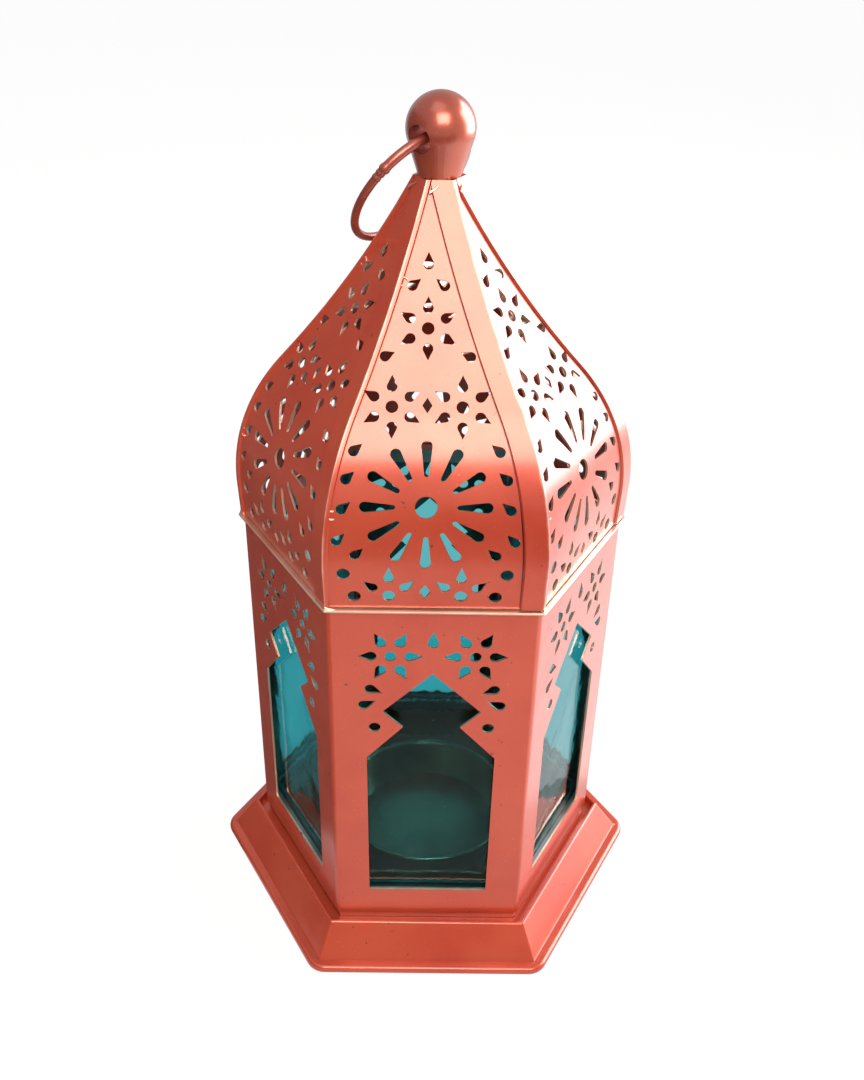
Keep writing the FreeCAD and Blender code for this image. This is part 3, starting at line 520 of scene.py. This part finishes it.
class LANTERN_OT_studio(LanternStep):
    """Floor, soft light, backdrop and camera"""

    bl_idname = "lantern.studio"
    bl_label = "Studio"

    def execute(self, context):
        self.floor(context)
        self.world(context)
        self.lamps(context)
        self.camera(context)
        context.scene.view_settings.view_transform = "Standard"
        return {"FINISHED"}

    @staticmethod
    def seen_directly(tree):
        """1 for rays that show the background: straight, mirrored or through glass."""
        path = add_node(tree, "ShaderNodeLightPath").outputs
        return maths(tree, "MAXIMUM", path["Is Camera Ray"],
                     maths(tree, "MAXIMUM", path["Is Glossy Ray"], path["Is Transmission Ray"]))

    @staticmethod
    def mirrored_white(tree, dimming):
        """White that loses some brightness where the lantern mirrors it."""
        mirrored = add_node(tree, "ShaderNodeLightPath").outputs["Is Glossy Ray"]
        return maths(tree, "MULTIPLY_ADD", mirrored, -dimming, 1.0)

    def floor(self, context):
        deselect_all()
        bpy.ops.mesh.primitive_plane_add(size=16.0, location=(0, 0, 0))
        floor = context.object
        floor.name = "floor"
        edit(floor, "FACE")
        bpy.ops.mesh.select_all(action="SELECT")
        bpy.ops.mesh.subdivide(number_cuts=3)
        done()
        material = bpy.data.materials.new("pale_floor")
        material.use_nodes = True
        tree = material.node_tree
        tree.nodes.clear()
        matt = add_node(tree, "ShaderNodeBsdfDiffuse", {"Color": (0.86, 0.86, 0.86)})
        bright = add_node(tree, "ShaderNodeEmission", {
            "Color": (1, 1, 1), "Strength": self.mirrored_white(tree, 0.5)})
        share_shown = maths(tree, "MULTIPLY", self.seen_directly(tree), 0.9)
        blend = add_node(tree, "ShaderNodeMixShader", {0: share_shown, 1: matt.outputs[0],
                                                       2: bright.outputs[0]})
        leave = add_node(tree, "ShaderNodeOutputMaterial")
        tree.links.new(blend.outputs[0], leave.inputs["Surface"])
        floor.data.materials.append(material)

    def world(self, context):
        world = context.scene.world or bpy.data.worlds.new("studio")
        context.scene.world = world
        world.use_nodes = True
        tree = world.node_tree
        tree.nodes.clear()
        soft = add_node(tree, "ShaderNodeBackground", {"Color": (1, 1, 1), "Strength": 0.85})
        white = add_node(tree, "ShaderNodeBackground", {
            "Color": (1, 1, 1), "Strength": self.mirrored_white(tree, 0.5)})
        blend = add_node(tree, "ShaderNodeMixShader", {0: self.seen_directly(tree),
                                                       1: soft.outputs[0], 2: white.outputs[0]})
        leave = add_node(tree, "ShaderNodeOutputWorld")
        tree.links.new(blend.outputs[0], leave.inputs["Surface"])

    @staticmethod
    def lamp(name, turn, rise, distance, width, height, glow, tone=(1, 1, 1)):
        """Softbox aimed at the lantern; glow is its brightness against white."""
        data = bpy.data.lights.new(name, "AREA")
        data.shape, data.size, data.size_y = "RECTANGLE", width, height
        data.color = tone
        data.energy = glow * math.pi * width * height
        lamp = bpy.data.objects.new(name, data)
        bpy.context.scene.collection.objects.link(lamp)
        a, e = math.radians(turn), math.radians(rise)
        way = Vector((math.sin(a) * math.cos(e), -math.cos(a) * math.cos(e), math.sin(e)))
        target = Vector((0, 0, 0.1))
        lamp.location = target + way * distance
        lamp.rotation_euler = way.to_track_quat("Z", "Y").to_euler()
        return lamp

    @staticmethod
    def card(name, place, turn, width, height, tone, lean=90):
        """Dark card that only the metal's reflections see."""
        deselect_all()
        bpy.ops.mesh.primitive_plane_add(size=1.0, location=place)
        card = bpy.context.object
        card.name = name
        card.scale = (width, height, 1)
        card.rotation_euler = (math.radians(lean), 0, math.radians(turn))
        material = bpy.data.materials.new(name)
        material.use_nodes = True
        tree = material.node_tree
        tree.nodes.clear()
        glow = add_node(tree, "ShaderNodeEmission", {"Color": (1, 1, 1), "Strength": tone})
        leave = add_node(tree, "ShaderNodeOutputMaterial")
        tree.links.new(glow.outputs[0], leave.inputs["Surface"])
        card.data.materials.append(material)
        card.visible_camera = card.visible_diffuse = False
        card.visible_transmission = card.visible_shadow = False
        settle(card)

    def lamps(self, context):
        self.lamp("key_front", 8, 42, 0.9, 0.55, 0.45, 8.5, (1.0, 0.92, 0.78))
        self.lamp("side_right", 112, 18, 0.7, 0.6, 0.7, 8.0, (1.0, 0.97, 0.98))
        self.lamp("top_soft", -30, 75, 0.9, 0.5, 0.5, 1.0)
        self.card("card_left", (-0.36, 0.05, 0.16), 90, 0.7, 0.4, 0.12)
        self.card("card_front", (0, -0.2, 0.08), 0, 0.5, 0.11, 0.05)
        self.card("card_floor", (-0.2, 0.06, 0.0005), 0, 0.3, 0.5, 0.06, lean=0)
        self.card("shine_floor", (0.2, 0.06, 0.0005), 0, 0.28, 0.5, 1.3, lean=0)

    def camera(self, context):
        studio = context.scene.lantern_studio
        aim = Vector((-4.44, 0, 97.6)) * MM
        turn = math.radians(-0.095)
        e = studio.elevation
        ahead = Vector((-math.sin(turn) * math.cos(e), math.cos(turn) * math.cos(e), -math.sin(e)))
        right = Vector((math.cos(turn), math.sin(turn), 0))
        up = right.cross(ahead)
        c, s = math.cos(studio.roll), math.sin(studio.roll)
        right, up = right * c + up * s, up * c - right * s
        data = bpy.data.cameras.new("camera")
        data.lens, data.shift_x, data.shift_y = studio.lens, 0.0175, -0.0083
        data.clip_start = 0.01
        camera = bpy.data.objects.new("camera", data)
        context.scene.collection.objects.link(camera)
        place = Matrix((right, up, -ahead)).transposed().to_4x4()
        place.translation = aim - ahead * studio.distance
        camera.matrix_world = place
        context.scene.camera = camera


def paint_edges(piece, outward, finish, keep=35, spare=None, highlight_faces=None):
    """Second material on faces that stand square to the sheet, where it was cut, and on the faces that the extra
    test picks, where the pale edge colour is a painted highlight.
    """
    piece.data.materials.append(finish)
    piece.data.materials.append(sheared_edge())
    least = math.cos(math.radians(keep))
    for face in piece.data.polygons:
        cut = abs(outward(face.center, face.center).dot(face.normal)) < least
        face.material_index = int((cut and not (spare and spare(face))) or bool(highlight_faces and highlight_faces(face)))


def on_lip(face):
    """True for a face of the body's folded top lip."""
    reach = face.center.dot(sector_of(face.center))
    return reach > bpy.context.scene.lantern_shape.face_apothem + 0.25 * MM


def lip_edge(start, end):
    """True for an edge round the lip's free rim."""
    limit = bpy.context.scene.lantern_shape.face_apothem + 1.0 * MM
    middle = (start + end) / 2
    flat = Vector((middle.x, middle.y, 0))
    return flat.dot(sector_of(flat)) > limit and flat.length > 0


def on_lap_edge(face):
    """True for a face on a panel's outline along the ridges."""
    shape = bpy.context.scene.lantern_shape
    way = sector_of(face.center)
    along = Vector((0, 0, 1)).cross(way)
    half = face.center.dot(way) * math.tan(SIXTH / 2)
    across = face.center.dot(along)
    return (abs(half - across - shape.flange_width) < 0.2 * MM or half - abs(across) < 1.2 * MM)


def ridge_copies(piece, name, finish, slot, turns):
    """Copies of a piece, each with its own mesh, turned about the axis."""
    for k in turns:
        copy = piece.copy()
        copy.data = piece.data.copy()
        copy.name = f"{name}_{k + 1}"
        bpy.context.scene.collection.objects.link(copy)
        copy.data.materials.append(finish)
        copy.matrix_world = Matrix.Rotation(k * SIXTH, 4, "Z") @ piece.matrix_world
        settle(copy)
        finish_piece(copy, "housing", slot)
    bpy.data.objects.remove(piece)


def roof_ridge(height):
    """Point of a roof ridge at a height, on the +X side, and the ridge's lean there."""
    shape = bpy.context.scene.lantern_shape
    knee = shape.eave_height + shape.eave_rise * math.cos(shape.eave_flare)
    spot = Vector((shape.face_apothem + shape.eave_rise * math.sin(shape.eave_flare), 0, knee))
    middle = spot - shape.bulge_radius * Vector((math.cos(shape.eave_flare), 0, -math.sin(shape.eave_flare)))
    lean = Vector((math.cos(shape.bulge_lean), 0, math.sin(shape.bulge_lean)))
    waist = middle + lean * shape.bulge_radius
    if height < waist.z:
        rise = (height - middle.z) / shape.bulge_radius
        reach = middle.x + shape.bulge_radius * math.sqrt(1 - rise * rise)
    else:
        sweep_middle = waist + lean * shape.sweep_radius
        rise = (sweep_middle.z - height) / shape.sweep_radius
        reach = sweep_middle.x - shape.sweep_radius * math.sqrt(1 - rise * rise)
    return reach / math.cos(SIXTH / 2), math.asin(rise)


def small_bar(name, long, wide, tall):
    """Folded scrap of sheet: a bar that narrows to one end, with soft edges."""
    deselect_all()
    bpy.ops.mesh.primitive_cube_add(size=1.0, scale=(long, wide, tall))
    piece = bpy.context.object
    piece.name = piece.data.name = name
    settle(piece)
    select_faces(piece, lambda face: face.normal.x > 0.9)
    bpy.ops.transform.resize(value=(1, 0.45, 0.5))
    bpy.ops.mesh.extrude_region_move(TRANSFORM_OT_translate={"value": (long / 4, 0, tall / 5)})
    bpy.ops.transform.resize(value=(1, 0.6, 0.6))
    done()
    apply_modifier(piece, "BEVEL", width=min(wide, tall) * 0.22, segments=2)
    smooth(piece, 60)
    return piece


def on_panel(height, inset, lift):
    """Place on a roof panel beside its left ridge: X across, Y up the sheet and Z outwards."""
    corner, lean = roof_ridge(height)
    reach = corner * math.cos(SIXTH / 2)
    face = Vector((math.cos(SIXTH / 2), math.sin(SIXTH / 2), 0))
    along = Vector((0, 0, 1)).cross(face)
    outward = face * math.cos(lean) + Vector((0, 0, math.sin(lean)))
    spot = face * reach + along * (inset - reach * math.tan(SIXTH / 2)) + Vector((0, 0, height))
    place = Matrix((along, outward.cross(along), outward)).transposed().to_4x4()
    place.translation = spot + outward * lift
    return place


def swept_wire(name, sections, ring):
    """Round wire bent about the local Z axis through sections of angle and wire radius."""
    first, wire = sections[0]
    deselect_all()
    bpy.ops.mesh.primitive_circle_add(vertices=18, radius=wire, fill_type="NGON",
                                      location=(ring, 0, 0), rotation=(math.pi / 2, 0, 0))
    piece = bpy.context.object
    piece.name = piece.data.name = name
    settle(piece)
    edit(piece, "FACE")
    bpy.ops.mesh.select_all(action="SELECT")
    turned = 0.0
    for (before, old), (after, new) in zip(sections, sections[1:]):
        step = math.radians(after - before)
        bpy.ops.mesh.spin(steps=1, angle=-step, center=(0, 0, 0), axis=(0, 0, 1))
        turned += step
        spot = Vector((math.cos(turned), math.sin(turned), 0)) * ring
        bpy.ops.transform.resize(value=(new / old,) * 3, center_override=spot)
    bpy.ops.mesh.select_all(action="SELECT")
    bpy.ops.mesh.remove_doubles(threshold=1e-7)
    bpy.ops.mesh.normals_make_consistent(inside=False)
    done()
    piece.matrix_world = Matrix.Rotation(math.radians(first), 4, "Z")
    settle(piece)
    return piece


class LANTERN_OT_roof(LanternStep):
    """Six roof panels with their cut edges"""

    bl_idname = "lantern.roof"
    bl_label = "Roof"

    def execute(self, context):
        for face in FACES:
            piece = merged_copy(f"roof_{face}", f"roof_sheet_{face}")
            paint_edges(piece, roof_outward, roof_lacquer(), spare=on_lap_edge)
            aim_normals(piece, roof_outward)
            finish_piece(piece, "housing", "copper_lacquer", f"roof_{face}")
        for height, turn in ((162.5, 20), (123.5, 65)):
            arc = [(12 * k, (0.16 + 0.06 * math.sin(math.pi * k / 20)) * MM) for k in range(21)]
            curl = swept_wire("lap_curl", arc, 0.85 * MM)
            curl.matrix_world = on_panel(height * MM, 0.95 * MM, 0.16 * MM) @ Matrix.Rotation(
                math.radians(turn), 4, "Z")
            smooth(curl, 60)
            ridge_copies(curl, f"lap_curl_{round(height)}", sheared_edge(), "copper_lacquer", range(6))
        fold = small_bar("lap_fold", 1.9 * MM, 0.45 * MM, 0.4 * MM)
        fold.matrix_world = on_panel(177.9 * MM, 1.6 * MM, 0.75 * MM) @ Matrix.Rotation(
            math.radians(35), 4, "Z")
        ridge_copies(fold, "lap_fold", sheared_edge(), "copper_lacquer", range(6))
        return {"FINISHED"}


class LANTERN_OT_body(LanternStep):
    """Two bent body sheets with their cut edges"""

    bl_idname = "lantern.body"
    bl_label = "Body"

    def execute(self, context):
        for side in ("front", "rear"):
            piece = merged_copy(f"wall_{side}", f"wall_sheet_{side}")
            select_edges(piece, lip_edge)
            bpy.ops.mesh.bevel(offset=0.2 * MM, segments=3)
            done()
            # The whole folded top lip takes the pale sheared-edge material: a painted highlight for the bright
            # line along the lip.
            paint_edges(piece, wall_outward, lacquer(), highlight_faces=on_lip)
            aim_normals(piece, wall_outward)
            finish_piece(piece, "housing", "copper_lacquer", f"wall_{side}")
        shape = context.scene.lantern_shape
        corner = (shape.face_apothem + 0.85 * MM) / math.cos(SIXTH / 2)
        pinch = small_bar("lip_pinch", 2.4 * MM, 0.8 * MM, 0.75 * MM)
        pinch.matrix_world = (Matrix.Translation((corner - 1.0 * MM, 0.75 * MM, shape.eave_height - 0.3 * MM))
                              @ Matrix.Rotation(math.radians(118), 4, "Z")
                              @ Matrix.Rotation(math.radians(14), 4, "Y"))
        ridge_copies(pinch, "lip_pinch", sheared_edge(), "copper_lacquer", range(6))
        return {"FINISHED"}


class LANTERN_OT_base(LanternStep):
    """Base pan, locating collar and candle cup"""

    bl_idname = "lantern.base"
    bl_label = "Base"

    def execute(self, context):
        for node, name, finish, slot in (
                ("base_pan", "base_stamping", lacquer, "copper_lacquer"),
                ("locating_collar", "collar_band", lacquer, "copper_lacquer"),
                ("candle_cup", "cup_dish", cup_metal, "cup_metal")):
            piece = merged_copy(node, name)
            piece.data.materials.append(finish())
            if node == "base_pan":
                select_edges(piece, self.pressed_edge)
                bpy.ops.mesh.bevel(offset=0.3 * MM, segments=3)
                done()
            smooth(piece, 32)
            apply_modifier(piece, "WEIGHTED_NORMAL", keep_sharp=True, weight=80)
            finish_piece(piece, "base", slot, node)
        return {"FINISHED"}


    @staticmethod
    def pressed_edge(start, end):
        """True for the ridge's upper edges and the skirt's six creases."""
        top = max(start.z, end.z)
        if top < 10.1 * MM:
            return False
        if abs(start.z - end.z) < 0.01 * MM:
            middle = (start + end) / 2
            flat = Vector((middle.x, middle.y, 0))
            across = (start - end).cross(Vector((0, 0, 1)))
            return across.length > 3 * MM and abs(across.normalized().dot(sector_of(flat))) > 0.99
        low = min((start, end), key=lambda spot: spot.z)
        return low.z < 3 * MM and Vector((start.x, start.y, 0)).length > 45 * MM


class LANTERN_OT_panes(LanternStep):
    """Turquoise panes with eased edges, and their rails"""

    bl_idname = "lantern.panes"
    bl_label = "Panes"

    def execute(self, context):
        for face in FACES:
            piece = merged_copy(f"pane_{face}", f"pane_glass_{face}")
            edit(piece, "FACE")
            bpy.ops.mesh.select_all(action="SELECT")
            bpy.ops.mesh.tris_convert_to_quads()
            done()
            apply_modifier(piece, "BEVEL", width=0.25 * MM, segments=2)
            piece.data.materials.append(pane_glass())
            aim_normals(piece, lambda _, middle: sector_of(middle), 8)
            finish_piece(piece, "housing", "turquoise_pane", f"pane_{face}")
        for node in ("pane_rail_lower", "pane_rail_upper", "crown_plate", "finial_screw"):
            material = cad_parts[node].data.materials
            material.clear()
            material.append(plain_steel())
        return {"FINISHED"}


class LANTERN_OT_finial(LanternStep):
    """Finial ball"""

    bl_idname = "lantern.finial"
    bl_label = "Finial"

    def execute(self, context):
        shape = context.scene.lantern_shape
        piece = merged_copy("finial", "finial_ball")
        piece.data.materials.append(finial_copper())
        middle = Vector((0, 0, shape.ball_height))
        smooth(piece, 30)
        aim_normals(piece, lambda spot, _: (spot - middle).normalized(), 8)
        finish_piece(piece, "housing", "finial_copper", "finial")
        return {"FINISHED"}


class LANTERN_OT_ring(LanternStep):
    """Hanging ring, bent from wire and crimped where its ends meet"""

    bl_idname = "lantern.ring"
    bl_label = "Ring"

    # The crimp: angle round the ring from the eye, and wire radius in millimetres.
    CRIMP = ((414.0, 1.0), (416.5, 1.02), (418.5, 1.16), (420.5, 1.1), (421.5, 0.9), (423.0, 0.97),
             (424.5, 0.97), (425.5, 0.84), (426.5, 0.84), (427.5, 0.95), (429.0, 0.95),
             (430.0, 0.82))

    def execute(self, context):
        shape = context.scene.lantern_shape
        low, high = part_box("hanging_ring")
        middle = (low + high) / 2
        eye = Vector((0, 0, shape.eye_height))
        up = (eye - middle).normalized()
        along = Vector((0, 0, 1)).cross(up).normalized()
        if along.y > 0:
            along = -along
        arc = [(68 + 6 * k, self.wire_at(68 + 6 * k)) for k in range(58)]
        sections = [(angle, radius * MM) for angle, radius in (*arc, *self.CRIMP)]
        piece = swept_wire("ring_wire", sections, shape.ring_radius)
        frame_of_ring = Matrix((up, along, up.cross(along))).transposed().to_4x4()
        frame_of_ring.translation = middle
        piece.matrix_world = frame_of_ring
        settle(piece)
        piece.data.materials.append(finial_copper())
        smooth(piece, 50)
        finish_piece(piece, "ring", "finial_copper", "hanging_ring")
        return {"FINISHED"}

    @staticmethod
    def wire_at(angle):
        """Wire radius, a little thinner on the far side of the crimp."""
        return 0.86 + 0.14 * min(1.0, max(0.0, (angle - 150) / 120))


STEPS = (LANTERN_OT_studio, LANTERN_OT_roof, LANTERN_OT_body, LANTERN_OT_base, LANTERN_OT_panes,
         LANTERN_OT_finial, LANTERN_OT_ring)


class LANTERN_PT_steps(bpy.types.Panel):
    """Lists the steps that finish the lantern."""

    bl_idname = "LANTERN_PT_steps"
    bl_label = "Candle lantern"
    bl_space_type = "VIEW_3D"
    bl_region_type = "UI"
    bl_category = "Lantern"

    def draw(self, context):
        for step in STEPS:
            self.layout.operator(step.bl_idname, text=step.bl_label)


CLASSES = (*GROUPS.values(), *STEPS, LANTERN_PT_steps)


def register():
    for item in CLASSES:
        bpy.utils.register_class(item)
    for name, group in GROUPS.items():
        setattr(bpy.types.Scene, name, PointerProperty(type=group))


def unregister():
    for name in GROUPS:
        delattr(bpy.types.Scene, name)
    for item in reversed(CLASSES):
        bpy.utils.unregister_class(item)


def main():
    register()
    for step in STEPS:
        group, name = step.bl_idname.split(".")
        getattr(getattr(bpy.ops, group), name)()
    bpy.context.view_layer.update()


if __name__ == "__main__":
    main()
